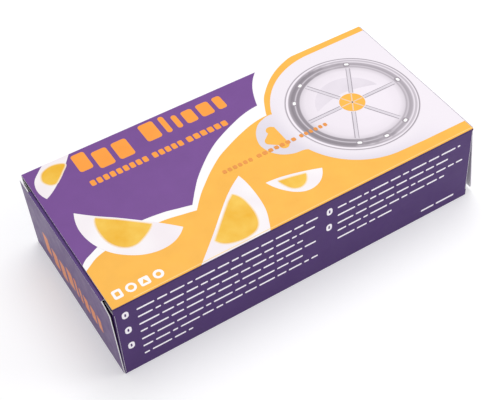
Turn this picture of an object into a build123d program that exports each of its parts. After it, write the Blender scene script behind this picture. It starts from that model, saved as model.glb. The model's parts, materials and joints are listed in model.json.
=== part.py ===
from build123d import *
import os
from math import cos, radians, sin, sqrt

os.makedirs("parts", exist_ok=True)

# A retail carton with a double-chamber egg slicer packed inside it, in millimetres.
# +X runs along the carton to its right end, +Y to the back and +Z up.
# The origin is the centre of the carton's underside.
# The carton is a reverse-tuck one: the left closure hinges at the bottom edge and tucks in under
# the top, and the right closure is the same thing turned half round about the carton's Y axis.

# ---- carton: driving dimensions ----
LENGTH = 216.0  # over both closures when shut
WIDTH = 105.0
HEIGHT = 52.0
BOARD = 0.5  # paperboard thickness
SCORE_GAP = 0.05  # free play at a fold line, between a flap's rounded edge and the panel's edge

LEFT_AJAR = 1.5  # degrees that the left closure stands open
RIGHT_AJAR = 5.5

CLOSURE_HINGE_WIDTH = 103.4
CLOSURE_FOLD_WIDTH = 102.4
CLOSURE_HEIGHT = 49.7  # from the hinge line to the tongue's fold line
SHOULDER_RISE = 0.5  # how far a shoulder stands above the tongue's fold line
SHOULDER_DROP = 0.2  # how far its edge falls from the tongue to the closure's corner
SOFT_CORNER_DROP = 3.7  # the same at the left closure's front corner, which is worn down
SHOULDER_ROUND = 1.0
SLIT_GAP = 0.5
CREASE_RELIEF = 0.3  # bevel inside the tongue's fold, so that the tongue can bend past square
TONGUE_FOLD_WIDTH = 84.0
TONGUE_TIP_WIDTH = 79.0
TONGUE_Y = -1.5  # the tongue's middle is a little nearer the front
TONGUE_LENGTH = 12.0
TONGUE_ROUND = 5.0

DUST_FLAP_LENGTH = 38.0
DUST_FLAP_SLOPE = 0.5  # rise per length of the edge beside the closure's hinge
DUST_FLAP_HINGE_SIDE = 1.5  # from the outer face at the closure's hinge to the flap's root
DUST_FLAP_TUCK_SIDE = 5.0  # from the outer face at the tongue's side to the flap's edge
DUST_FLAP_ROUND = 4.0
GLUE_FLAP_HEIGHT = 15.0
GLUE_FLAP_TAPER = 8.0
GLUE_FLAP_SET_BACK = 3.0

# ---- slicer: driving dimensions, with heights above the slicer's own underside ----
CHAMBER_X = 44.5  # each chamber's centre, from the middle
BODY_R = 44.5
SLICER_GAP = 0.1  # between the carton's floor and the slicer's underside
BASE_HEIGHT = 36.0
WALL = 2.0
EDGE_ROUND = 1.2
TAB_R = 15.0
TAB_X = 90.5
TAB_THICKNESS = 3.0
TAB_BLEND = 5.0
LOBE_R = 2.8  # the hanging hole's three lobes
LOBE_CENTRES = ((-94.5, 5.7), (-99.0, 0), (-94.5, -5.7))
HOLE_RIGHT_EDGE = -91.8

SEAT_R = 37.0  # round recess that a frame sits in, at its floor
SEAT_MOUTH_R = 38.4  # it widens upwards, to clear the frame's far side as that lifts
SEAT_FLOOR = 23.4
CRADLE_R = 28.8
CRADLE_TOP = 37.0
BOWL_RIM_R = 26.8
WEDGE_BOWL_DEPTH = 8.0
SLICE_BOWL_DEPTH = 9.5
SLOT_FLOOR = 25.8
WEDGE_SLOT = 2.4
SLICE_SLOT = 1.8
CENTRE_HOLE_R = 7.0

FRAME_R = 36.5
FRAME_SKIN = 1.5
FRAME_INNER_R = 30.3
FRAME_BOTTOM = 24.0
FRAME_FLOOR = 1.6
FRAME_INNER_TOP = 32.0
FRAME_TOP = 39.0

WIRE_R = 0.3
WIRE_HEIGHT = 27.0
WIRE_LAYER = 0.65  # rise from one crossing wire to the next
WEDGE_WIRES = 3
SLICE_WIRES = 9
SLICE_PITCH = 5.5
WIRE_HOLE_R = 0.35
FERRULE_R = 1.0
FERRULE_BORE_R = 0.32
FERRULE_LENGTH = 2.0
FERRULE_GAP = 0.1
WIRE_SHORT = 0.2  # from a wire's end to its ferrule's outer face

PIN_X = 4.6
PIN_HEIGHT = 33.0
PIN_R = 1.2
PIN_LENGTH = 25.6
PIN_CHAMFER = 0.3
KNUCKLE_R = 3.0
KNUCKLE_HALF_WIDTH = 8.0
KNUCKLE_BORE_R = 1.25
ARM_BOTTOM = 31.0
BLOCK_BOTTOM = 28.0  # the solid middle that holds the hinge pins
BLOCK_HALF_WIDTH = 14.0
BLOCK_BORE_R = 1.22
POCKET_GAP = 0.4  # play round a knuckle in its pocket

# ---- worked out from them ----
SLEEVE_END = LENGTH / 2 - BOARD  # x of the walls' cut ends
FOLD_INNER_Y = WIDTH / 2 - BOARD
HINGE_X = LENGTH / 2 - BOARD / 2  # closure hinge line
HINGE_Z = BOARD / 2
DUST_X = SLEEVE_END - BOARD / 2 - SCORE_GAP  # dust flap hinge line
DUST_Y = WIDTH / 2 - BOARD / 2
SLICER_BOTTOM = BOARD + SLICER_GAP
FERRULE_START = FRAME_INNER_R + FRAME_SKIN
SLOT_LENGTH = 2 * (CRADLE_R + WALL)

# An end's own frame: the left end as it stands, and the right end turned half round about Y.
END_FRAMES = {
    "left": Plane.XY,
    "right": Plane(origin=(0, 0, HEIGHT), x_dir=(-1, 0, 0), z_dir=(0, 0, -1)),
}


def save(piece, name):
    piece.part.label = name
    export_step(piece.part, f"parts/{name}.step")


def placed(frame, origin, x_dir, z_dir):
    """A plane given in an end's own frame."""
    start = frame.from_local_coords(Vector(*origin))
    turned = [frame.from_local_coords(Vector(*origin) + Vector(*d)) - start for d in (x_dir, z_dir)]
    return Plane(origin=start, x_dir=turned[0], z_dir=turned[1])


def bowl_radius(depth):
    """Radius of the sphere that dips by depth inside the bowl's rim."""
    return (BOWL_RIM_R**2 + depth**2) / (2 * depth)


# ---------------------------------------------------------------- carton walls


def wall_section(span):
    """A wall's outline: its inner face on the x axis, its outer corners rounded about the folds."""
    half = span / 2
    mitre = BOARD / sqrt(2)
    Polyline((-half - mitre, mitre), (-half, 0), (half, 0), (half + mitre, mitre))
    CenterArc((half, 0), BOARD, 45, 45)
    Line((half, BOARD), (-half, BOARD))
    CenterArc((-half, 0), BOARD, 90, 45)


def make_wall(centre, across, span, ends):
    """A wall from x = ends[0] to ends[1], whose width runs along the direction across."""
    with BuildPart() as wall:
        with BuildSketch(Plane(origin=(ends[0], *centre), x_dir=across, z_dir=(1, 0, 0))):
            with BuildLine():
                wall_section(span)
            make_face()
        extrude(amount=ends[1] - ends[0])
    return wall


hinge_edge = SLEEVE_END - SCORE_GAP
floor_to_ceiling = HEIGHT - 2 * BOARD
side_to_side = 2 * FOLD_INNER_Y

bottom_panel = make_wall((0, BOARD), (0, -1, 0), side_to_side, (-hinge_edge, SLEEVE_END))
save(bottom_panel, "bottom_panel")

top_panel = make_wall((0, HEIGHT - BOARD), (0, 1, 0), side_to_side, (-SLEEVE_END, hinge_edge))
save(top_panel, "top_panel")

# Each side wall's ends are let in where a dust flap folds.
root_height = HEIGHT - DUST_FLAP_HINGE_SIDE - DUST_FLAP_TUCK_SIDE
for name, side in (("front_panel", -1), ("rear_panel", 1)):
    wall = make_wall((side * FOLD_INNER_Y, HEIGHT / 2), (0, 0, -side), floor_to_ceiling,
                     (-SLEEVE_END, SLEEVE_END))
    with BuildPart() as side_panel:
        add(wall.part)
        for frame in END_FRAMES.values():
            notch_low = DUST_FLAP_HINGE_SIDE - SCORE_GAP
            notch_plane = placed(frame, (-SLEEVE_END, side * DUST_Y, notch_low), (1, 0, 0), (0, 0, 1))
            with BuildSketch(notch_plane):
                Rectangle(2 * (BOARD + 2 * SCORE_GAP), 4 * BOARD)
            extrude(amount=root_height + 2 * SCORE_GAP, mode=Mode.SUBTRACT)
    save(side_panel, name)

with BuildPart() as glue_flap:
    with BuildSketch(Plane(origin=(0, FOLD_INNER_Y, BOARD), x_dir=(1, 0, 0), z_dir=(0, -1, 0))):
        with BuildLine():
            half = SLEEVE_END - GLUE_FLAP_SET_BACK
            Polyline((-half, SCORE_GAP), (half, SCORE_GAP), (half - GLUE_FLAP_TAPER, GLUE_FLAP_HEIGHT),
                     (GLUE_FLAP_TAPER - half, GLUE_FLAP_HEIGHT), close=True)
        make_face()
    extrude(amount=BOARD)
save(glue_flap, "glue_flap")

# ---------------------------------------------------------------- carton ends


def fold_point(ajar):
    """Where the tongue folds from the closure, in the end's own frame."""
    lean = radians(ajar)
    return (-HINGE_X - CLOSURE_HEIGHT * sin(lean), TONGUE_Y, HINGE_Z + CLOSURE_HEIGHT * cos(lean))


def rounded_fold(frame, centre, length):
    """The round edge of a flap at its fold line along Y."""
    x, y, z = centre
    with BuildSketch(placed(frame, (x, y - length / 2, z), (1, 0, 0), (0, 1, 0))) as disc:
        Circle(BOARD / 2)
    extrude(disc.sketch, amount=length)


def make_closure(frame, ajar, front_drop):
    """front_drop is how far the front shoulder falls to its corner."""
    lean = radians(ajar)
    upright = placed(frame, (-HINGE_X, 0, HINGE_Z), (0, 1, 0), (cos(lean), 0, sin(lean)))
    fold_edge = CLOSURE_HEIGHT - BOARD / 2 - SCORE_GAP
    shoulder = CLOSURE_HEIGHT + SHOULDER_RISE
    slit_front = TONGUE_Y - TONGUE_FOLD_WIDTH / 2 - SLIT_GAP
    slit_rear = TONGUE_Y + TONGUE_FOLD_WIDTH / 2 + SLIT_GAP
    with BuildPart() as closure:
        with BuildSketch(upright) as outline:
            with BuildLine():
                Polyline(
                    (-CLOSURE_HINGE_WIDTH / 2, 0), (CLOSURE_HINGE_WIDTH / 2, 0),
                    (CLOSURE_FOLD_WIDTH / 2, shoulder - SHOULDER_DROP), (slit_rear, shoulder),
                    (slit_rear, fold_edge), (slit_front, fold_edge), (slit_front, shoulder),
                    (-CLOSURE_FOLD_WIDTH / 2, shoulder - front_drop), close=True,
                )
            make_face()
            corners = outline.vertices().filter_by(lambda v: v.Y > HEIGHT / 2)
            fillet([corners.sort_by(Axis.X)[0], corners.sort_by(Axis.X)[-1]], SHOULDER_ROUND)
        extrude(amount=BOARD / 2, both=True)
        crease = closure.edges().filter_by(lambda e: abs(e.length - slit_rear + slit_front) < SCORE_GAP)
        chamfer(min(crease, key=lambda e: abs(e.center().X)), CREASE_RELIEF)
        rounded_fold(frame, (-HINGE_X, 0, HINGE_Z), CLOSURE_HINGE_WIDTH)
    return closure


def make_tongue(frame, ajar):
    fold = fold_point(ajar)
    level = placed(frame, fold, (1, 0, 0), (0, 0, 1))
    with BuildPart() as tongue:
        with BuildSketch(level) as outline:
            with BuildLine():
                Polyline(
                    (0, -TONGUE_FOLD_WIDTH / 2), (TONGUE_LENGTH, -TONGUE_TIP_WIDTH / 2),
                    (TONGUE_LENGTH, TONGUE_TIP_WIDTH / 2), (0, TONGUE_FOLD_WIDTH / 2), close=True,
                )
            make_face()
            tips = [v for v in outline.vertices() if v.X > TONGUE_LENGTH / 2]
            fillet(tips, TONGUE_ROUND)
        extrude(amount=BOARD / 2, both=True)
        rounded_fold(frame, fold, TONGUE_FOLD_WIDTH)
    return tongue


def make_dust_flap(frame, side):
    """side is -1 for the flap on the front wall and 1 for the one on the rear wall."""
    high = HEIGHT - DUST_FLAP_TUCK_SIDE
    low_tip = DUST_FLAP_HINGE_SIDE + DUST_FLAP_SLOPE * DUST_FLAP_LENGTH
    across = placed(frame, (-DUST_X, side * DUST_Y, 0), (0, -side, 0), (-side, 0, 0))
    with BuildPart() as flap:
        with BuildSketch(across) as outline:
            with BuildLine():
                Polyline(
                    (0, DUST_FLAP_HINGE_SIDE), (DUST_FLAP_LENGTH, low_tip),
                    (DUST_FLAP_LENGTH, high), (0, high), close=True,
                )
            make_face()
            tips = [v for v in outline.vertices() if v.X > DUST_FLAP_LENGTH / 2]
            fillet(tips, DUST_FLAP_ROUND)
        extrude(amount=BOARD / 2, both=True)
        root = (-DUST_X, side * DUST_Y, DUST_FLAP_HINGE_SIDE)
        with BuildSketch(placed(frame, root, (1, 0, 0), (0, 0, 1))):
            Circle(BOARD / 2)
        extrude(amount=root_height)
    return flap


for end, ajar, drop in (("left", LEFT_AJAR, SOFT_CORNER_DROP), ("right", RIGHT_AJAR, SHOULDER_DROP)):
    save(make_closure(END_FRAMES[end], ajar, drop), f"{end}_closure")
    save(make_tongue(END_FRAMES[end], ajar), f"{end}_tuck_tongue")
    for place, side in (("front", -1), ("rear", 1)):
        save(make_dust_flap(END_FRAMES[end], side), f"{end}_{place}_dust_flap")

# ---------------------------------------------------------------- slicer base


def at_height(height):
    return Plane.XY.offset(SLICER_BOTTOM + height)


def slot_lines(chamber):
    """(centre, direction in degrees) of a chamber's wires and of the slots below them."""
    if chamber == "wedge":
        return [((-CHAMBER_X, 0), 180 / WEDGE_WIRES * i) for i in range(WEDGE_WIRES)]
    middle = (SLICE_WIRES - 1) / 2
    return [((CHAMBER_X, SLICE_PITCH * (i - middle)), 0) for i in range(SLICE_WIRES)]


# The hollows under the wedge bowl's sectors, between the walls that line the slots.
with BuildPart() as wedge_hollows:
    with BuildSketch(at_height(SLOT_FLOOR - WALL)):
        with Locations((-CHAMBER_X, 0)):
            Circle(CRADLE_R - WALL)
            Circle(CENTRE_HOLE_R + WALL, mode=Mode.SUBTRACT)
            for centre, turn in slot_lines("wedge"):
                Rectangle(SLOT_LENGTH, WEDGE_SLOT + 2 * WALL, rotation=turn, mode=Mode.SUBTRACT)
    extrude(amount=CRADLE_TOP - SLOT_FLOOR)
    ball = bowl_radius(WEDGE_BOWL_DEPTH)
    with Locations((-CHAMBER_X, 0, SLICER_BOTTOM + CRADLE_TOP - WEDGE_BOWL_DEPTH + ball)):
        Sphere(ball + WALL, mode=Mode.SUBTRACT)

with BuildPart() as slicer_base:
    with BuildSketch(at_height(BASE_HEIGHT - TAB_THICKNESS)) as tabs:
        SlotCenterToCenter(2 * CHAMBER_X, 2 * BODY_R)
        with Locations((-TAB_X, 0), (TAB_X, 0)):
            Circle(TAB_R)
        inner_corners = [v for v in tabs.vertices() if abs(v.X) > TAB_X - TAB_R and abs(v.Y) > TAB_BLEND]
        fillet(inner_corners, TAB_BLEND)
    extrude(amount=TAB_THICKNESS)
    with BuildSketch(at_height(0)):
        SlotCenterToCenter(2 * CHAMBER_X, 2 * BODY_R)
    extrude(amount=BASE_HEIGHT)
    fillet(slicer_base.edges().group_by(Axis.Z)[-1], EDGE_ROUND)
    # hollow underside
    with BuildSketch(at_height(0)):
        SlotCenterToCenter(2 * CHAMBER_X, 2 * (BODY_R - WALL))
    extrude(amount=BASE_HEIGHT - WALL, mode=Mode.SUBTRACT)
    # round seats for the two frames, each with an egg cradle standing in it
    depth = BASE_HEIGHT - SEAT_FLOOR
    mid_seat = SLICER_BOTTOM + SEAT_FLOOR + depth / 2
    with Locations((-CHAMBER_X, 0, mid_seat - WALL / 2), (CHAMBER_X, 0, mid_seat - WALL / 2)):
        Cone(SEAT_R + WALL, SEAT_MOUTH_R + WALL, depth + WALL)
    with Locations((-CHAMBER_X, 0, mid_seat), (CHAMBER_X, 0, mid_seat)):
        Cone(SEAT_R, SEAT_MOUTH_R, depth, mode=Mode.SUBTRACT)
    with BuildSketch(at_height(SEAT_FLOOR - WALL)):
        with Locations((-CHAMBER_X, 0), (CHAMBER_X, 0)):
            Circle(CRADLE_R)
    extrude(amount=CRADLE_TOP - SEAT_FLOOR + WALL)
    with BuildSketch(at_height(0)):
        with Locations((-CHAMBER_X, 0), (CHAMBER_X, 0)):
            Circle(CRADLE_R - WALL)
    extrude(amount=SLOT_FLOOR - WALL, mode=Mode.SUBTRACT)
    # the solid middle, between the seats
    with BuildSketch(at_height(BLOCK_BOTTOM)):
        Rectangle(2 * (PIN_X + KNUCKLE_R + WALL), 2 * BLOCK_HALF_WIDTH)
        with Locations((-CHAMBER_X, 0), (CHAMBER_X, 0)):
            Circle(SEAT_MOUTH_R, mode=Mode.SUBTRACT)
    extrude(amount=BASE_HEIGHT - BLOCK_BOTTOM)
    # bowls, slots and the centre hole
    for x, depth in ((-CHAMBER_X, WEDGE_BOWL_DEPTH), (CHAMBER_X, SLICE_BOWL_DEPTH)):
        with Locations((x, 0, SLICER_BOTTOM + CRADLE_TOP - depth + bowl_radius(depth))):
            Sphere(bowl_radius(depth), mode=Mode.SUBTRACT)
    for chamber, slot_width in (("wedge", WEDGE_SLOT), ("slice", SLICE_SLOT)):
        for centre, turn in slot_lines(chamber):
            with BuildSketch(at_height(SLOT_FLOOR)):
                with Locations(centre):
                    Rectangle(SLOT_LENGTH, slot_width, rotation=turn)
            extrude(amount=BASE_HEIGHT, mode=Mode.SUBTRACT)
    with BuildSketch(at_height(0)):
        with Locations((-CHAMBER_X, 0)):
            Circle(CENTRE_HOLE_R)
    extrude(amount=BASE_HEIGHT, mode=Mode.SUBTRACT)
    add(wedge_hollows.part, mode=Mode.SUBTRACT)
    # three-lobed hanging hole in the wedge end's tab
    with BuildSketch(at_height(BASE_HEIGHT - 2 * TAB_THICKNESS)):
        with Locations(*LOBE_CENTRES):
            Circle(LOBE_R)
        with BuildLine():
            upper, left, lower = LOBE_CENTRES
            Polyline(upper, left, lower, (HOLE_RIGHT_EDGE, lower[1]), (HOLE_RIGHT_EDGE, upper[1]),
                     close=True)
        make_face()
    extrude(amount=3 * TAB_THICKNESS, mode=Mode.SUBTRACT)
    # pockets for the frames' knuckles, open towards the seats, and the pin holes across them
    pocket_r = KNUCKLE_R + POCKET_GAP
    for side in (-1, 1):
        across = Plane(origin=(0, -BLOCK_HALF_WIDTH, SLICER_BOTTOM), x_dir=(1, 0, 0), z_dir=(0, 1, 0))
        with BuildSketch(across.offset(BLOCK_HALF_WIDTH - KNUCKLE_HALF_WIDTH - POCKET_GAP)):
            with Locations((side * PIN_X, -PIN_HEIGHT)):
                Circle(pocket_r)
            with Locations((side * (PIN_X + KNUCKLE_R), -PIN_HEIGHT - pocket_r / 2)):
                Rectangle(2 * (pocket_r + KNUCKLE_R), 3 * pocket_r)
        extrude(amount=2 * (KNUCKLE_HALF_WIDTH + POCKET_GAP), mode=Mode.SUBTRACT)
        with BuildSketch(across.offset(BLOCK_HALF_WIDTH - PIN_LENGTH / 2)):
            with Locations((side * PIN_X, -PIN_HEIGHT)):
                Circle(BLOCK_BORE_R)
        extrude(amount=PIN_LENGTH, mode=Mode.SUBTRACT)
save(slicer_base, "slicer_base")

# ---------------------------------------------------------------- frames, wires and hinge pins


def ferrule_distance(centre, frame_x):
    """From a wire's middle to where its ferrule clears the frame's inner skirt."""
    if centre[0] == frame_x and centre[1] == 0:
        return FERRULE_START + FERRULE_GAP
    nearest = abs(centre[1]) - FERRULE_R
    return sqrt(FERRULE_START**2 - nearest**2) + FERRULE_GAP


def wire_runs(chamber):
    """(plane across the wire at its middle, half its length to the ferrules), one for each wire."""
    frame_x = -CHAMBER_X if chamber == "wedge" else CHAMBER_X
    runs = []
    for i, (centre, turn) in enumerate(slot_lines(chamber)):
        layer = i * WIRE_LAYER if chamber == "wedge" else 0
        middle = (*centre, SLICER_BOTTOM + WIRE_HEIGHT + layer)
        along = (cos(radians(turn)), sin(radians(turn)), 0)
        runs.append((Plane(origin=middle, z_dir=along), ferrule_distance(centre, frame_x)))
    return runs


def make_frame(chamber):
    """A ring of channel section, open at the top, with a hinge arm towards the middle."""
    side = -1 if chamber == "wedge" else 1
    centre = (side * CHAMBER_X, 0, SLICER_BOTTOM)
    with BuildPart() as frame:
        with BuildSketch(Plane(origin=centre, x_dir=(1, 0, 0), z_dir=(0, -1, 0))):
            with BuildLine():
                Polyline(
                    (FRAME_INNER_R, FRAME_BOTTOM), (FRAME_R, FRAME_BOTTOM), (FRAME_R, FRAME_TOP),
                    (FRAME_R - FRAME_SKIN, FRAME_TOP),
                    (FRAME_R - FRAME_SKIN, FRAME_BOTTOM + FRAME_FLOOR),
                    (FRAME_INNER_R + FRAME_SKIN, FRAME_BOTTOM + FRAME_FLOOR),
                    (FRAME_INNER_R + FRAME_SKIN, FRAME_INNER_TOP),
                    (FRAME_INNER_R, FRAME_INNER_TOP), close=True,
                )
            make_face()
        revolve(axis=Axis(centre, (0, 0, 1)))
        arm_root = side * (CHAMBER_X - FRAME_R + FRAME_SKIN / 2)
        with BuildSketch(at_height(ARM_BOTTOM)):
            with Locations(((arm_root + side * PIN_X) / 2, 0)):
                Rectangle(abs(arm_root) - PIN_X, 2 * KNUCKLE_HALF_WIDTH)
        extrude(amount=PIN_HEIGHT + KNUCKLE_R - ARM_BOTTOM)
        hinge = Plane(origin=(side * PIN_X, -KNUCKLE_HALF_WIDTH, SLICER_BOTTOM + PIN_HEIGHT),
                      x_dir=(1, 0, 0), z_dir=(0, 1, 0))
        with BuildSketch(hinge):
            Circle(KNUCKLE_R)
        extrude(amount=2 * KNUCKLE_HALF_WIDTH)
        with BuildSketch(hinge):
            Circle(KNUCKLE_BORE_R)
        extrude(amount=2 * KNUCKLE_HALF_WIDTH, mode=Mode.SUBTRACT)
        for across, reach in wire_runs(chamber):
            with BuildSketch(across):
                Circle(WIRE_HOLE_R)
            extrude(amount=reach, both=True, mode=Mode.SUBTRACT)
    return frame


def make_wires(chamber):
    with BuildPart() as wires:
        for across, reach in wire_runs(chamber):
            with BuildSketch(across):
                Circle(WIRE_R)
            extrude(amount=reach + FERRULE_LENGTH - WIRE_SHORT, both=True)
    return wires


def make_ferrules(chamber):
    with BuildPart() as ferrules:
        for across, reach in wire_runs(chamber):
            for end in (across, Plane(origin=across.origin, z_dir=-across.z_dir)):
                with BuildSketch(end.offset(reach)):
                    Circle(FERRULE_R)
                    Circle(FERRULE_BORE_R, mode=Mode.SUBTRACT)
                extrude(amount=FERRULE_LENGTH)
    return ferrules


for chamber, x in (("wedge", -PIN_X), ("slice", PIN_X)):
    save(make_frame(chamber), f"{chamber}_frame")
    save(make_wires(chamber), f"{chamber}_wires")
    save(make_ferrules(chamber), f"{chamber}_wire_ferrules")
    with BuildPart() as pin:
        pin_end = (x, -PIN_LENGTH / 2, SLICER_BOTTOM + PIN_HEIGHT)
        with BuildSketch(Plane(origin=pin_end, x_dir=(1, 0, 0), z_dir=(0, 1, 0))):
            Circle(PIN_R)
        extrude(amount=PIN_LENGTH)
        chamfer(pin.edges().filter_by(GeomType.CIRCLE), PIN_CHAMFER)
    save(pin, f"{chamber}_hinge_pin")

for end, ajar in (("left", LEFT_AJAR), ("right", RIGHT_AJAR)):
    fold = END_FRAMES[end].from_local_coords(Vector(*fold_point(ajar)))
    print(end, "tongue fold at", [round(v, 3) for v in fold])
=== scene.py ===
import json
import math

import bmesh
import bpy
from mathutils import Matrix, Vector


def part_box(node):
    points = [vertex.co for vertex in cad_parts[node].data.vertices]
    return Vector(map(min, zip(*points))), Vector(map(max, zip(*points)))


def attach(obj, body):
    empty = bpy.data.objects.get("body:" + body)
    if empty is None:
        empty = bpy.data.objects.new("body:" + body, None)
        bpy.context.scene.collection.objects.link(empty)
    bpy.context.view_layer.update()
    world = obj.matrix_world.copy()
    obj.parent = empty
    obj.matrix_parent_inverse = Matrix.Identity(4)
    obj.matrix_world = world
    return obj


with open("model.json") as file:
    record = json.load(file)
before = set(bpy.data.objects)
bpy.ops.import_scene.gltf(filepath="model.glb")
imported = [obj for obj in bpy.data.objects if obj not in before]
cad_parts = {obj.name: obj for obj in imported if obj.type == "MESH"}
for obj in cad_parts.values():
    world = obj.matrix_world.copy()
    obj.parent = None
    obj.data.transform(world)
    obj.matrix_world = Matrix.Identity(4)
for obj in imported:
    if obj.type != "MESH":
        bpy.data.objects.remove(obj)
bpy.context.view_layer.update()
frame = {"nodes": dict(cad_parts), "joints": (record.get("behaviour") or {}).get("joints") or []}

# Looks for a retail carton with an egg slicer inside. Print is built as thin closed shapes that lie on
# the carton's board in layers. Drawing numbers are in millimetres, and frame numbers in metres.
MM = 0.001
NODES = frame["nodes"]
JOINTS = {j["name"]: j for j in frame["joints"]}

# ---------------------------------------------------------------- places taken from the CAD model

top_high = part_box("top_panel")[1]
FRONT_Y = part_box("front_panel")[0].y / MM
HEIGHT = top_high.z / MM
BOARD = (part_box("bottom_panel")[1].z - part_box("bottom_panel")[0].z) / MM
FLAT_Y = -FRONT_Y - BOARD  # the top is flat as far as this, then rounds over the fold
FOLD_WRAP = BOARD * math.pi / 4  # print goes this far round a fold
LEFT_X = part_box("top_panel")[0].x / MM
RIGHT_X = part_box("top_panel")[1].x / MM
LENGTH = 216.0

# ---------------------------------------------------------------- colours


def rgb(red, green, blue):
    """A linear colour from an 8-bit screen colour."""
    parts = [c / 255 for c in (red, green, blue)]
    return [c / 12.92 if c <= 0.04045 else ((c + 0.055) / 1.055) ** 2.4 for c in parts] + [1.0]


PURPLE = rgb(118, 73, 147)
DEEP_PURPLE = rgb(67, 33, 101)
CLOSURE_PURPLE = rgb(84, 47, 114)
TONGUE_PURPLE = rgb(92, 62, 128)
ORANGE = rgb(252, 186, 74)
PAPER_WHITE = rgb(252, 250, 251)
TITLE_ORANGE = rgb(255, 160, 60)
RAW_BOARD = rgb(249, 247, 250)

# ---------------------------------------------------------------- materials


class Material:
    """A node material on a Principled shader, with short calls for the nodes it needs."""

    def __init__(self, name, **sockets):
        self.material = bpy.data.materials.new(name)
        self.material.use_nodes = True
        self.tree = self.material.node_tree
        self.shader = self.tree.nodes["Principled BSDF"]
        for socket, value in sockets.items():
            self.shader.inputs[socket.replace("_", " ")].default_value = value
        self.place = self.tree.nodes.new("ShaderNodeTexCoord").outputs["Object"]

    def link(self, source, target):
        self.tree.links.new(source, target)
        return target

    def noise(self, scale, detail=3.0, stretch=None):
        node = self.tree.nodes.new("ShaderNodeTexNoise")
        node.inputs["Scale"].default_value = scale
        node.inputs["Detail"].default_value = detail
        place = self.place
        if stretch:
            scaled = self.tree.nodes.new("ShaderNodeMapping")
            scaled.inputs["Scale"].default_value = stretch
            self.link(place, scaled.inputs["Vector"])
            place = scaled.outputs["Vector"]
        self.link(place, node.inputs["Vector"])
        return node.outputs["Fac"]

    def math(self, operation, first, second=None, clamp=False):
        node = self.tree.nodes.new("ShaderNodeMath")
        node.operation = operation
        node.use_clamp = clamp
        for socket, value in zip(node.inputs, (first, second)):
            if isinstance(value, (int, float)):
                socket.default_value = value
            elif value is not None:
                self.link(value, socket)
        return node.outputs[0]

    def span(self, value, low, high, to_low=0.0, to_high=1.0, smooth=False):
        node = self.tree.nodes.new("ShaderNodeMapRange")
        node.interpolation_type = "SMOOTHSTEP" if smooth else "LINEAR"
        for socket, number in zip(list(node.inputs)[1:5], (low, high, to_low, to_high)):
            socket.default_value = number
        self.link(value, node.inputs[0])
        return node.outputs[0]

    def mix(self, factor, first, second):
        node = self.tree.nodes.new("ShaderNodeMix")
        node.data_type = "RGBA"
        colours = [s for s in node.inputs if s.type == "RGBA"]
        self.link(factor, node.inputs[0])
        for socket, value in zip(colours, (first, second)):
            if isinstance(value, (list, tuple)):
                socket.default_value = value
            else:
                self.link(value, socket)
        return next(s for s in node.outputs if s.type == "RGBA")

    def ramp(self, factor, stops):
        node = self.tree.nodes.new("ShaderNodeValToRGB")
        elements = node.color_ramp.elements
        while len(elements) < len(stops):
            elements.new(0.5)
        for element, (at, colour) in zip(elements, stops):
            element.position = at
            element.color = colour
        self.link(factor, node.inputs[0])
        return node.outputs["Color"]

    def vector(self, operation, *values):
        node = self.tree.nodes.new("ShaderNodeVectorMath")
        node.operation = operation
        for socket, value in zip(node.inputs, values):
            if isinstance(value, (list, tuple)):
                socket.default_value = value
            else:
                self.link(value, socket)
        return node

    def colour(self, source):
        self.link(source, self.shader.inputs["Base Color"])

    def roughness(self, source):
        self.link(source, self.shader.inputs["Roughness"])

    def bump(self, height, strength, distance):
        node = self.tree.nodes.new("ShaderNodeBump")
        node.inputs["Strength"].default_value = strength
        node.inputs["Distance"].default_value = distance
        self.link(height, node.inputs["Height"])
        self.link(node.outputs["Normal"], self.shader.inputs["Normal"])


def shade(colour, factor):
    return [min(1.0, c * factor) for c in colour[:3]] + [1.0]


INK_IOR = 1.33  # a thin matt varnish over ink
PLASTIC_IOR = 1.49


def paper_surface(m):
    """The faint unevenness of printed board: fibres under the varnish, and patchy gloss."""
    fibres = m.noise(900.0, 4.0)
    m.roughness(m.span(m.noise(160.0), 0.3, 0.7, 0.34, 0.44))
    m.bump(fibres, 0.12, 0.00004)


def ink(name, colour, variation=0.035):
    m = Material(name, IOR=INK_IOR)
    patches = m.noise(90.0, 5.0)
    m.colour(m.mix(m.span(patches, 0.3, 0.7), shade(colour, 1 - variation), shade(colour, 1 + variation)))
    paper_surface(m)
    return m.material


def inked_board(m, colour, printed):
    """Colour a board: ink where printed is 1, and raw white board where it is 0."""
    patches = m.span(m.noise(90.0, 5.0), 0.3, 0.7)
    inked = m.mix(patches, shade(colour, 0.965), shade(colour, 1.035))
    fibres = m.noise(1400.0, 3.0, (1.0, 0.25, 1.0))
    inside = m.mix(m.span(fibres, 0.3, 0.7), shade(RAW_BOARD, 0.9), RAW_BOARD)
    m.colour(m.mix(printed, inside, inked))
    paper_surface(m)
    return m.material


FACING = (0.56, 0.62)  # the cosine over which a face turns from raw board to ink


def facing(m, *ways):
    """1 on the faces that look one of these ways at rest, and 0 on the others."""
    normal = m.tree.nodes["Texture Coordinate"].outputs["Normal"]
    found = None
    for way in ways:
        seen = m.span(m.vector("DOT_PRODUCT", normal, list(way)).outputs["Value"], *FACING)
        found = m.math("MAXIMUM", found, seen) if found else seen
    return found


def board(name, *outward, colour=DEEP_PURPLE):
    """Carton board with ink on its outer face, and raw white board elsewhere."""
    m = Material(name, IOR=INK_IOR)
    return inked_board(m, colour, facing(m, *outward))


FLAP_INK = 0.02  # how far the ink reaches past a dust flap's fold
INK_FADE = 0.0003  # width of the ink's edge


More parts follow.
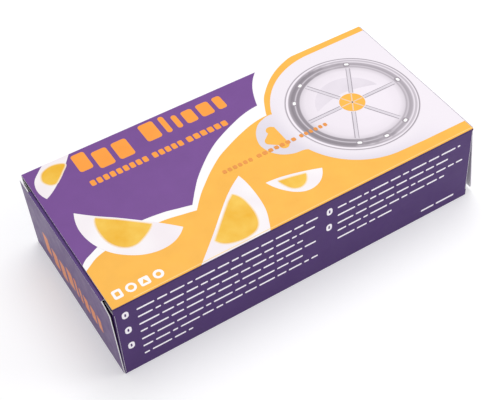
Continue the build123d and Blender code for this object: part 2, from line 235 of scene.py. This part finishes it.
def flap_board(name, outward, fold_y):
    """A dust flap's board: the ink turns the corner with it and stops a little way in."""
    m = Material(name, IOR=INK_IOR)
    along_y = m.vector("DOT_PRODUCT", m.place, [0.0, 1.0, 0.0]).outputs["Value"]
    from_fold = m.math("ABSOLUTE", m.math("SUBTRACT", along_y, fold_y))
    near = m.span(from_fold, FLAP_INK, FLAP_INK + INK_FADE, 1.0, 0.0)
    return inked_board(m, DEEP_PURPLE, m.math("MULTIPLY", near, facing(m, outward)))


def raw_board(name):
    m = Material(name, IOR=INK_IOR)
    fibres = m.noise(1400.0, 3.0, (1.0, 0.25, 1.0))
    m.colour(m.mix(m.span(fibres, 0.3, 0.7), shade(RAW_BOARD, 0.88), RAW_BOARD))
    m.roughness(m.span(m.noise(160.0), 0.3, 0.7, 0.55, 0.7))
    m.bump(fibres, 0.2, 0.00005)
    return m.material


def white_plastic():
    m = Material("moulded_white", IOR=PLASTIC_IOR, Subsurface_Weight=0.15, Subsurface_Scale=0.004)
    m.colour(m.mix(m.noise(40.0), rgb(244, 242, 243), rgb(250, 249, 249)))
    m.roughness(m.span(m.noise(600.0), 0.3, 0.7, 0.24, 0.36))
    m.bump(m.noise(2600.0), 0.12, 0.00003)
    return m.material


def frame_plastic():
    m = Material("translucent_frame", IOR=PLASTIC_IOR, Transmission_Weight=0.55)
    m.colour(m.mix(m.noise(60.0), rgb(214, 209, 216), rgb(228, 224, 230)))
    m.roughness(m.span(m.noise(500.0), 0.3, 0.7, 0.16, 0.28))
    m.bump(m.noise(2200.0), 0.08, 0.00003)
    return m.material


def metal(name, colour, rough, stretch):
    m = Material(name, Metallic=1.0)
    streaks = m.noise(900.0, 4.0, stretch)
    m.colour(m.mix(streaks, shade(colour, 0.85), colour))
    m.roughness(m.span(streaks, 0.3, 0.7, rough - 0.06, rough + 0.08))
    m.bump(streaks, 0.15, 0.00002)
    return m.material


def assign(node, material):
    for socket in NODES[node].material_slots:
        socket.material = material
    if not NODES[node].material_slots:
        NODES[node].data.materials.append(material)


def lean(side):
    """How far an end closure stands open at rest, in radians, from its joint's low limit."""
    return math.radians(-JOINTS[f"{side}_closure_fold"]["range_deg"][0])


def outward_of(side):
    """The outward normal of an end closure at rest."""
    angle = lean(side)
    return Vector((-math.cos(angle), 0, -math.sin(angle))) * (1 if side == "left" else -1)


assign("top_panel", board("board_top", (0, 0, 1), colour=PURPLE))
assign("bottom_panel", board("board_bottom", (0, 0, -1)))
assign("front_panel", board("board_front", (0, -1, 0), (-1, 0, 0), (1, 0, 0)))
assign("rear_panel", board("board_rear", (0, 1, 0), (-1, 0, 0), (1, 0, 0)))
for side, fold_z in (("left", 1), ("right", -1)):
    out = outward_of(side)
    toward_hinge = (out - Vector((0, 0, fold_z))).normalized()
    toward_fold = (out + Vector((0, 0, fold_z))).normalized()
    assign(f"{side}_closure", board(f"board_{side}_closure", toward_hinge, colour=CLOSURE_PURPLE))
    assign(f"{side}_tuck_tongue", board(f"board_{side}_tongue", toward_fold, colour=TONGUE_PURPLE))
assign("glue_flap", raw_board("board_raw"))
for side, out_x in (("left", -1), ("right", 1)):
    for place in ("front", "rear"):
        node = f"{side}_{place}_dust_flap"
        fold = NODES[node].matrix_world.inverted() @ Vector(JOINTS[f"{node}_fold"]["pos_m"])
        out_y = -1 if place == "front" else 1
        assign(node, flap_board(f"board_{node}", Vector((out_x, out_y, 0)).normalized(), fold.y))
assign("slicer_base", white_plastic())
frame_material = frame_plastic()
wire_material = metal("wire_steel_looks", rgb(214, 214, 218), 0.25, (0.2, 1.0, 1.0))
ferrule_material = metal("ferrule_looks", rgb(226, 226, 230), 0.32, (1.0, 1.0, 1.0))
for chamber in ("wedge", "slice"):
    assign(f"{chamber}_frame", frame_material)
    assign(f"{chamber}_wires", wire_material)
    assign(f"{chamber}_wire_ferrules", ferrule_material)
    assign(f"{chamber}_hinge_pin", wire_material)

# ---------------------------------------------------------------- outlines


def curve(*points, steps=6):
    """Points along a smooth open curve through the given points."""
    pts = [Vector(p) for p in points]
    before = 3 * pts[0] - 3 * pts[1] + pts[2]
    after = 3 * pts[-1] - 3 * pts[-2] + pts[-3]
    return [tuple(p) for p in through([before, *pts, after], steps)] + [tuple(pts[-1])]


def loop(*points, steps=6):
    """Points along a smooth closed curve through the given points."""
    pts = [Vector(p) for p in points]
    return [tuple(p) for p in through([pts[-1], *pts, pts[0], pts[1]], steps)]


def through(pts, steps):
    found = []
    for a, b, c, d in zip(pts, pts[1:], pts[2:], pts[3:]):
        for i in range(steps):
            t = i / steps
            found.append(0.5 * (2 * b + (c - a) * t + (2 * a - 5 * b + 4 * c - d) * t**2
                                + (3 * b - a - 3 * c + d) * t**3))
    return found


def arc(centre, radius, start, end, steps=24):
    """Points round an arc, from start to end in degrees."""
    angles = [math.radians(start + (end - start) * i / steps) for i in range(steps + 1)]
    return [(centre[0] + radius * math.cos(a), centre[1] + radius * math.sin(a)) for a in angles]


def disc(centre, radius, steps=48):
    return arc(centre, radius, 0, 360, steps)[:-1]


def bar(left, right, low, high, rounding=None):
    """A rectangle with rounded corners."""
    r = min(rounding if rounding is not None else (high - low) / 2, (high - low) / 2, (right - left) / 2)
    corners = (((right - r, high - r), 0), ((left + r, high - r), 90), ((left + r, low + r), 180),
               ((right - r, low + r), 270))
    return [p for centre, start in corners for p in arc(centre, r, start, start + 90, 5)]


def grown(outline, amount):
    """The outline moved outward by amount."""
    pts = [Vector(p) for p in outline]
    area = sum(a.x * b.y - b.x * a.y for a, b in zip(pts, pts[1:] + pts[:1]))
    turn = 1 if area > 0 else -1
    found = []
    for a, b, c in zip(pts[-1:] + pts[:-1], pts, pts[1:] + pts[:1]):
        along = (c - a).normalized()
        found.append(tuple(b + turn * amount * Vector((along.y, -along.x))))
    return found


# ---------------------------------------------------------------- faces that are printed on

LAYER = 0.015  # from one layer of print to the next
INK = 0.012  # thickness of each shape


def top_place(a, b, h):
    """A point on the top: a from the left end, b from the front edge, h above the board."""
    x, y = a - LENGTH / 2, b + FRONT_Y
    over = abs(y) - FLAT_Y
    if over <= 0:
        return Vector((x, y, HEIGHT + h)) * MM
    turn = over / BOARD
    reach = FLAT_Y + (BOARD + h) * math.sin(turn)
    return Vector((x, math.copysign(reach, y), HEIGHT - BOARD + (BOARD + h) * math.cos(turn))) * MM


def front_place(a, b, h):
    """A point on the front: a from the left end, b above the table."""
    return Vector((a - LENGTH / 2, FRONT_Y - h, b)) * MM


def rear_place(a, b, h):
    """A point on the back: a from its own left end, b above the table."""
    return Vector((LENGTH / 2 - a, h - FRONT_Y, b)) * MM


HINGE_DEPTH = 0.0005  # how far below the top the right closure's print is measured from


def closure_place(side):
    """Points on an end closure: a from its own left edge, b up from the hinge or down to the fold."""
    hinge = Vector(JOINTS[f"{side}_closure_fold"]["pos_m"])
    out = outward_of(side)
    up = Vector((0, 1, 0)).cross(out) * (1 if side == "left" else -1)
    up = up if up.z > 0 else -up
    drop = 0 if side == "left" else HEIGHT * MM - HINGE_DEPTH

    def place(a, b, h):
        width = a * MM + FRONT_Y * MM
        across = -width if side == "left" else width
        height = b * MM - drop
        return hinge + Vector((0, across, 0)) + up * height + out * (BOARD / 2 + h) * MM

    return place


def flat_solid(mesh, outline, low, high):
    bottom = [mesh.verts.new((x, y, low)) for x, y in outline]
    top = [mesh.verts.new((x, y, high)) for x, y in outline]
    mesh.faces.new(bottom)
    mesh.faces.new(top)
    for i in range(len(outline)):
        j = (i + 1) % len(outline)
        mesh.faces.new((bottom[i], bottom[j], top[j], top[i]))


FOLD_CUTS = (0.0, FOLD_WRAP / 3, 2 * FOLD_WRAP / 3)  # where shapes are cut so that they bend round a fold


def decal(name, outlines, place, level, material, body, origin=None):
    """Printed shapes of one colour, each a closed solid as thick as its ink, on one layer."""
    mesh = bmesh.new()
    for outline in outlines:
        flat_solid(mesh, outline, LAYER * level - INK, LAYER * level)
    if place is top_place:
        for cut in FOLD_CUTS:
            for sign in (-1, 1):
                everything = mesh.verts[:] + mesh.edges[:] + mesh.faces[:]
                at = sign * (FLAT_Y + cut) - FRONT_Y
                bmesh.ops.bisect_plane(mesh, geom=everything, dist=1e-5, plane_co=(0, at, 0),
                                       plane_no=(0, 1, 0))
    bmesh.ops.triangulate(mesh, faces=mesh.faces)
    for vert in mesh.verts:
        vert.co = place(*vert.co)
    bmesh.ops.recalc_face_normals(mesh, faces=mesh.faces)
    data = bpy.data.meshes.new(name)
    mesh.to_mesh(data)
    mesh.free()
    data.materials.append(material)
    piece = bpy.data.objects.new(name, data)
    bpy.context.scene.collection.objects.link(piece)
    if origin:
        data.transform(Matrix.Translation(-origin))
        piece.location = origin
    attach(piece, body)
    return piece


# ---------------------------------------------------------------- the top's picture

BACK = FLAT_Y + FOLD_WRAP - FRONT_Y  # where the print ends at the back and front folds
FRONT = -FLAT_Y - FOLD_WRAP - FRONT_Y
START = LEFT_X + LENGTH / 2 + 0.05
END = RIGHT_X + LENGTH / 2 - 0.05

white_edge = (
    curve((START, 31.6), (3.5, 34.3), (7.1, 36.1), (13.2, 38.8), (23.2, 41.2), (37.4, 41.5),
          (49.2, 40.2), (56.4, 38.4), (63.9, 36.4))[:-1]
    + curve((63.9, 36.4), (70.6, 45.3), (76.3, 52), (84.9, 60), (92, 65.6), (99.1, 70), (109.2, 74.8),
            (119.9, 78.8), (129.7, 80.4))[:-1]
    + curve((129.7, 80.4), (133.6, 91), (137.9, 98.5), (143.6, BACK))
)
orange_edge = (
    curve((START, 27.6), (3.6, 29.6), (7.9, 32.2), (12.8, 33.8), (23.2, 35.8), (33.2, 36.4),
          (43.2, 35.7), (49.3, 35.1), (56.4, 33.6), (64, 32))[:-1]
    + curve((64, 32), (70.7, 39.9), (76.3, 45.3), (83.5, 51.6), (92.1, 57.9), (99.2, 61.6), (109.2, 66),
            (120, 69.6), (129.8, 70.8))[:-1]
    + curve((129.8, 70.8), (131.6, 75.2), (135.7, 83), (140.7, 88.9), (147, 94.7), (153.1, 98.9),
            (159.1, 101.9), (164.9, 104), (169.6, BACK))
)
ring_centre = (174.2, 53.2)
RING_RADIUS = 37.3
RAMP_REACH = 37.5  # the radius at which the ring's colour ramp ends
body_edge = (
    [(END, 100.4)]
    + arc((176.3, 53.7), 46.6, 90, 159.8)
    + curve((132.6, 69.7), (130.7, 70.2), (127.3, 69.7), (121.8, 67.1), (117.3, 61.7), (114.9, 55.6),
            (114.8, 50.9), (116.9, 45.1), (120.9, 40.7), (126.4, 38.1), (131.4, 37.5), (134.2, 36.3))[1:-1]
    + arc((175.2, 52.1), 43.9, 201, 265)
    + [(188.2, 7.6), (END, 7.2)]
)

white_ink = ink("ink_white", PAPER_WHITE, 0.01)
orange_ink = ink("ink_orange", ORANGE)
title_ink = ink("ink_title", TITLE_ORANGE)


def picture_white():
    """The slicer's white plastic as printed: a cool white that greys a little towards its lower left."""
    m = Material("ink_picture_white", IOR=INK_IOR)
    reach = m.vector("LENGTH", m.place).outputs["Value"]
    side = m.vector("DOT_PRODUCT", m.place, [-0.75, -0.66, 0.0]).outputs["Value"]
    rim = m.span(reach, 0.036, 0.047, smooth=True)
    low_left = m.span(side, 0.0, 0.04, smooth=True)
    grey = m.math("MULTIPLY", rim, low_left)
    m.colour(m.mix(grey, rgb(241, 234, 242), rgb(224, 217, 228)))
    paper_surface(m)
    return m.material


EGG_WHITE = rgb(251, 247, 249)
YOLK_DARK, YOLK_LIGHT = rgb(240, 181, 40), rgb(248, 202, 82)


def picture_egg_white():
    m = Material("ink_egg_white", IOR=INK_IOR)
    m.colour(m.mix(m.span(m.noise(45.0, 1.0), 0.35, 0.65), rgb(244, 235, 240), EGG_WHITE))
    paper_surface(m)
    return m.material


def picture_yolk(share):
    """Yolk colour, of which share shows over the egg white."""
    m = Material(f"ink_yolk_{round(100 * share)}", IOR=INK_IOR)
    shades = [[w + share * (y - w) for w, y in zip(EGG_WHITE, yolk)] for yolk in (YOLK_DARK, YOLK_LIGHT)]
    m.colour(m.mix(m.span(m.noise(75.0, 3.0), 0.35, 0.65), *shades))
    paper_surface(m)
    return m.material


def picture_ring():
    """The round frame as printed: a clear plastic channel with dark and light rims, round a pale bowl."""
    m = Material("ink_ring", IOR=INK_IOR)
    reach = m.span(m.vector("LENGTH", m.place).outputs["Value"], 0.0, RAMP_REACH * MM)

    def at(radius, grey):
        return radius / RAMP_REACH, rgb(grey, grey - 8, grey + 1)

    dark_side = m.ramp(reach, [at(0, 240), at(20, 239), at(26, 233), at(28.6, 218), at(29.2, 152),
                               at(30.6, 148), at(31.3, 212), at(31.9, 148), at(33.4, 140), at(34.9, 170),
                               at(35.5, 248), at(36.2, 246), at(36.7, 152), at(37.3, 224)])
    light_side = m.ramp(reach, [at(0, 243), at(20, 241), at(26, 236), at(28.8, 218), at(29.6, 178),
                                at(30.6, 207), at(31.4, 170), at(33, 180), at(34, 238), at(34.6, 192),
                                at(35.4, 202), at(36, 252), at(36.7, 132), at(37.2, 227)])
    toward = m.vector("DOT_PRODUCT", m.vector("NORMALIZE", m.place).outputs["Vector"],
                      [-0.96, 0.1, 0.0]).outputs["Value"]
    uneven = m.math("ADD", toward, m.span(m.noise(120.0, 2.0), 0.3, 0.7, -0.35, 0.35))
    m.colour(m.mix(m.span(uneven, -0.5, 0.6, smooth=True), light_side, dark_side))
    paper_surface(m)
    return m.material


ring_origin = top_place(*ring_centre, 0)
egg_white_ink = picture_egg_white()
slot_ink = ink("ink_slot", rgb(222, 215, 224))
line_ink = ink("ink_line", rgb(168, 160, 170))
shine_ink = ink("ink_shine", rgb(255, 255, 255), 0.0)
tagline_ink = ink("ink_tagline", rgb(236, 152, 70))

corners = [(END, BACK), (END, FRONT), (START, FRONT)]
decal("top_white_field", [white_edge + corners], top_place, 1, white_ink, "carton")
decal("top_orange_field", [orange_edge + corners], top_place, 2, orange_ink, "carton")
# a pale line on the top just behind the front fold: painted highlight along the fold, partly ink worn away
# at the crease
decal("top_front_fold_highlight", [bar(12, END, 0.9, 1.3)], top_place, 4, ink("ink_fold_highlight", rgb(255, 216, 140)),
      "carton")
decal("top_slicer_body", [body_edge], top_place, 3, picture_white(), "carton", ring_origin)

hole = ([(128.3, 45.1)] + [(128.2, 61)] + arc((125.4, 59.6), 2.8, 30, 205, 12)
        + arc((120.6, 53.1), 2.7, 120, 240, 10) + arc((125.5, 46.5), 2.8, 155, 330, 12))
decal("top_hanging_hole", [hole], top_place, 4, orange_ink, "carton")

wedges = {
    "a": (curve((4.5, 81.5), (2.8, 86.6), (2.8, 91.7), (4.5, 96.8), (8.4, 101.2), (12.4, BACK))
          + [(27.7, BACK)] + curve((27.7, BACK), (14.8, 89.5), (4.5, 81.5))[1:-1],
          loop((8.2, 96.4), (7.9, 93.2), (9.7, 89.9), (12.6, 88.7), (15.2, 90.6), (19.1, 94.6), (22.6, 98.9),
               (19.0, 101.3), (14.6, 101.6), (10.3, 99.8))),
    "b": (curve((11.6, 65.0), (9.0, 54), (10.2, 42.8), (14.6, 33), (20.8, 26.2), (28.6, 21.3), (37.3, 19.3),
                (45.8, 20.8), (52.9, 26.2))[:-1]
          + curve((52.9, 26.2), (45.6, 34.0), (37.7, 41.6), (28.4, 50.0), (20, 57.0), (11.6, 65.0))[:-1],
          [(19.2, 55.9), (24, 51.9), (28.4, 48.3), (33, 44), (37.9, 39.4), (40.8, 36.6)]
          + curve((40.8, 36.6), (37.6, 33.6), (33.1, 30.9), (28.6, 29.2), (24, 29.9), (20, 33.4),
                  (17.4, 39), (16.7, 46), (17.5, 52.2), (19.2, 55.9))[1:-1]),
    "c": (curve((93.6, 40.6), (94.6, 32.6), (94.2, 21.4), (92.7, 12.5), (89.6, 4.6), (87.4, FRONT))[:-1]
          + [(87.4, FRONT), (48.2, FRONT)]
          + curve((48.2, FRONT), (62.3, 13.3), (72.6, 23.5), (83, 33.2), (93.6, 40.6))[1:-1],
          [(61.4, 9.6), (65.4, 13.6), (70.2, 18.4), (75, 23.2), (80, 28), (84.2, 31.2)]
          + curve((84.2, 31.2), (86.7, 26.6), (87.4, 20.6), (87.0, 13.6), (85, 7.6), (81.4, 4),
                  (75.6, 2.7), (69.4, 3.3), (64.2, 5.6), (61.4, 9.6))[1:-1]),
    "d": (curve((102.5, 28.5), (104.6, 23.4), (107.6, 18.9), (111.6, 14.8), (116.1, 12.4), (121.1, 12),
                (126, 13.7), (129.7, 16.9), (132.4, 21.2))[:-1]
          + curve((132.4, 21.2), (121.9, 24.9), (111.4, 27.6), (102.5, 28.5))[:-1],
          [(108.4, 26.0), (115.6, 24.6), (123.3, 22.6)]
          + curve((123.3, 22.6), (121, 18.6), (117.8, 16.4), (114.3, 16.3), (111, 18.9),
                  (108.4, 26.0))[1:-1]),
}
YOLK_STEPS = ((0.8, 0.25), (0.45, 0.5), (0.1, 0.75), (-0.25, 1.0))  # how far out, and how much yolk colour
for key, (white, _) in wedges.items():
    decal(f"top_egg_{key}_white", [white], top_place, 3, egg_white_ink, "carton")
for i, (out, share) in enumerate(YOLK_STEPS):
    decal(f"top_yolks_{i + 1}", [grown(yolk, out) for _, yolk in wedges.values()], top_place, 4 + i,
          picture_yolk(share), "carton")

# the ring, its six spokes, the orange centre and the small bright bosses
decal("top_ring", [disc(ring_centre, RING_RADIUS, 96)], top_place, 4, picture_ring(), "carton", ring_origin)
dome = arc(ring_centre, 20.4, 12, 168, 30) + curve((154.6, 57.4), (164.2, 60.7), (174.2, 62.2),
                                                   (184.2, 60.7), (193.8, 57.4))[1:-1]
decal("top_bowl_shade", [dome], top_place, 5, ink("ink_bowl_shade", rgb(229, 221, 231)), "carton")


def on_ring(outline, degrees):
    """An outline given about the ring's centre, turned and put in its place."""
    turn = Matrix.Rotation(math.radians(degrees), 2)
    return [tuple(turn @ Vector(p) + Vector(ring_centre)) for p in outline]


def spoke_bars(inner, outer, low, high):
    """The same bar on each of the six spokes, given along and across the first one."""
    return [on_ring(bar(inner, outer, low, high), angle) for angle in range(0, 360, 60)]


decal("top_spoke_slots", spoke_bars(7.4, 28.6, -1.25, 1.25), top_place, 6, slot_ink, "carton")
decal("top_spoke_lines", spoke_bars(7.6, 28.2, -1.3, -0.8) + spoke_bars(7.6, 28.2, 0.85, 1.2), top_place, 7,
      line_ink, "carton")
decal("top_centre", [disc(ring_centre, 7.2)], top_place, 7, orange_ink, "carton")
wires = [on_ring(bar(-6.8, 6.8, -0.32, 0.32), angle) for angle in (0, 60, 120)]
decal("top_centre_wires", wires, top_place, 8, ink("ink_wire", rgb(236, 208, 186)), "carton")

BOSS_ANGLES = (2, 61, 121, 148, 242, 270, 299)
pits = [on_ring(bar(30.0, 33.4, -1.8, 1.8, 1.0), angle) for angle in BOSS_ANGLES]
bosses = [on_ring(bar(30.9, 32.6, -1.4, 1.2, 0.8), angle) for angle in BOSS_ANGLES]
decal("top_boss_shadows", pits, top_place, 5, ink("ink_boss_shadow", rgb(158, 148, 158)), "carton")
decal("top_bosses", bosses, top_place, 6, shine_ink, "carton")

# ---------------------------------------------------------------- plain blocks where the carton has wording

TITLE_BLOCKS = ((27, 34.7, 88.6, 102.5), (37.1, 46, 85.2, 98.9), (48.8, 57.7, 85.3, 99),
                (66.9, 75.8, 88.8, 102.8), (79, 82.2, 88.9, 102.8), (85.5, 88.7, 88.9, 99.8),
                (91.5, 98.2, 89, 99.4), (100.8, 108.5, 89, 99.5), (111.1, 116.3, 89.1, 99.6))
decal("top_title_blocks", [bar(*b, 1.6) for b in TITLE_BLOCKS], top_place, 1, title_ink, "carton")
WORDS = ((27.7, 60.9, 9), (63.9, 82.0, 5), (84.5, 109.2, 6))  # start, end and number of blocks
LETTER_GAP = 1.0


def letter_blocks(start, end, count, low, high):
    """Evenly spaced blocks in place of the letters of a word."""
    pitch = (end - start + LETTER_GAP) / count
    starts = [start + i * pitch for i in range(count)]
    return [bar(at, at + pitch - LETTER_GAP, low, high, 0.8) for at in starts]


subtitle = [b for word in WORDS for b in letter_blocks(*word, 76.4, 80.6)]
decal("top_subtitle_blocks", subtitle, top_place, 1, title_ink, "carton")
TAGLINE = ((88.1, 105.9, 6), (108.9, 133.0, 7), (135.6, 152.9, 6))
tagline = [b for word in TAGLINE for b in letter_blocks(*word, 45.7, 48.3)]
decal("top_tagline_blocks", tagline, top_place, 8, tagline_ink, "carton")

icons = [bar(4.3, 9.1, 4.2, 9.8, 1.0), bar(11.1, 16.7, 4.2, 9.8, 2.8), bar(18.4, 23.7, 4.2, 9.5, 1.0),
         bar(25.8, 31.3, 4.2, 9.7, 2.7)]
decal("top_icons", icons, top_place, 3, white_ink, "carton")
icon_marks = [bar(5.6, 7.8, 5.7, 8.4, 0.5), disc((13.9, 7.0), 1.5, 20),
              [(19.6, 5.6), (22.5, 5.6), (21.0, 8.3)], disc((28.5, 6.9), 1.3, 20)]
decal("top_icon_marks", icon_marks, top_place, 4, orange_ink, "carton")

front_white = ink("ink_front_white", rgb(248, 243, 250))
fold_shade_ink = ink("ink_fold_shade", rgb(40, 12, 82))  # painted shade under the top fold, partly the darker edge of ink along the crease
COLUMN_STARTS = (12.1, 127.6)
LINES_LEFT = ((43.9, 115.4), (38.1, 113.5), (32.2, 106.2), (26.5, 115.6), (20.4, 105.9), (14.6, 115.2),
              (8.7, 39.7))
LINES_RIGHT = ((43.6, 207.4), (37.7, 201), (31.7, 210), (25.9, 198), (19.8, 162.9))
BULLETS = ((6.1, 43.7), (6.2, 32.0), (6.3, 19.9), (122.6, 43.6), (122.3, 31.8))
WORD_LENGTHS = (9.5, 5.5, 8.0, 3.0, 11.0, 6.5, 4.0, 10.0, 7.0)
WORD_SPACE = 1.5
SHORTEST_BAR = 1.5
LINE_THICK = 1.15


def word_bars(left, right, height, first):
    """Bars of word-like lengths that fill one line of print."""
    bars, at, i = [], left, first
    while at < right - SHORTEST_BAR:
        end = min(at + WORD_LENGTHS[i % len(WORD_LENGTHS)], right)
        bars.append(bar(at, end, height - LINE_THICK / 2, height + LINE_THICK / 2))
        at = end + WORD_SPACE
        i += 1
    return bars


def side_art(name, place):
    """Bullets and lines of plain bars, as on the front and back."""
    bars = []
    for i, (height, right) in enumerate(LINES_LEFT):
        bars += word_bars(COLUMN_STARTS[0], right, height, 2 * i)
    for i, (height, right) in enumerate(LINES_RIGHT):
        bars += word_bars(COLUMN_STARTS[1], right, height, 3 * i + 1)
    bars.append(bar(183.6, 192.5, 5.3, 6.6))
    bars.append(bar(194, 206.5, 5.3, 6.6))
    decal(f"{name}_text_bars", bars, place, 1, front_white, "carton")
    # a dark line just under the top fold on the front and back: painted shade at the crease, partly darker
    # ink
    decal(f"{name}_crease", [bar(0.6, LENGTH - 0.6, 50.8, 51.45, 0.1)], place, 1, fold_shade_ink, "carton")
    bullets = [bar(x - 1.75, x + 1.75, z - 2.5, z + 2.5) for x, z in BULLETS]
    decal(f"{name}_bullets", bullets, place, 1, front_white, "carton")
    marks = [bar(x - 0.45, x + 0.45, z - 1.1, z + 1.1) for x, z in BULLETS]
    decal(f"{name}_bullet_marks", marks, place, 2, ink(f"ink_{name}_mark", DEEP_PURPLE), "carton")


side_art("front", front_place)
side_art("rear", rear_place)

END_BLOCKS = ((17.5, 24.2, 9.3, 24.7), (27.1, 34.0, 7.2, 20.8), (36.7, 43.5, 7.6, 21.2),
              (46.6, 53.4, 11.0, 25.4), (55.6, 58.4, 11.3, 25.7), (60.7, 63.5, 11.5, 23.2),
              (65.8, 71.4, 11.7, 22.7), (73.6, 79.4, 12.1, 23.0), (81.6, 86.1, 12.4, 23.4))
end_title_ink = ink("ink_end_title", rgb(226, 128, 66))
end_blocks = [bar(*b, 1.2) for b in END_BLOCKS]
for side in ("left", "right"):
    decal(f"{side}_end_blocks", end_blocks, closure_place(side), 1, end_title_ink, f"{side}_closure")

# ---------------------------------------------------------------- floor, light and camera

FLOOR_SIZE = 6.0
FLOOR_DROP = 0.0002  # keeps the floor off the carton's underside
floor_mesh = bmesh.new()
bmesh.ops.create_grid(floor_mesh, x_segments=8, y_segments=8, size=FLOOR_SIZE)
floor_data = bpy.data.meshes.new("floor")
floor_mesh.to_mesh(floor_data)
floor_mesh.free()
floor = bpy.data.objects.new("floor", floor_data)
floor.location = (0, 0, -FLOOR_DROP)
bpy.context.scene.collection.objects.link(floor)
paper = Material("floor_paper", Roughness=0.9, Emission_Strength=0.37, Specular_IOR_Level=0.1)
paper.colour(paper.mix(paper.noise(3.0), rgb(218, 218, 220), rgb(222, 222, 224)))
paper.shader.inputs["Emission Color"].default_value = (1.0, 0.995, 1.0, 1.0)
floor_data.materials.append(paper.material)

world = bpy.data.worlds.new("studio")
world.use_nodes = True
bpy.context.scene.world = world
sky = world.node_tree.nodes["Background"]
sky.inputs["Color"].default_value = (1.0, 1.0, 1.0, 1.0)
sky.inputs["Strength"].default_value = 0.58


def soft_light(name, place, aim, size, power):
    lamp = bpy.data.lights.new(name, "AREA")
    lamp.shape = "DISK"
    lamp.size = size
    lamp.energy = power
    holder = bpy.data.objects.new(name, lamp)
    holder.location = place
    holder.rotation_mode = "QUATERNION"
    holder.rotation_quaternion = (Vector(aim) - Vector(place)).to_track_quat("-Z", "Y")
    bpy.context.scene.collection.objects.link(holder)


soft_light("key", (0.35, 0.45, 1.5), (0, 0, 0), 1.1, 10.5)
soft_light("right_fill", (0.9, -0.5, 0.55), (0.05, 0, 0.02), 0.6, 3.1)

camera = bpy.data.cameras.new("camera")
camera.sensor_width = 36.0
camera.lens = 82.03
camera.shift_x = -0.06  # the photograph is a crop from below and left of the lens axis
camera.shift_y = -0.12
camera.clip_start = 0.02
camera.clip_end = 30.0
eye = bpy.data.objects.new("camera", camera)
eye.matrix_world = (
    Matrix.Translation((-0.2063, -0.3708, 0.4754))
    @ Matrix.Rotation(math.radians(-31.236), 4, "Z")
    @ Matrix.Rotation(math.radians(45.548), 4, "X")
    @ Matrix.Rotation(math.radians(-2.176), 4, "Z")
)
bpy.context.scene.collection.objects.link(eye)
bpy.context.scene.camera = eye
bpy.context.scene.view_settings.view_transform = "Standard"
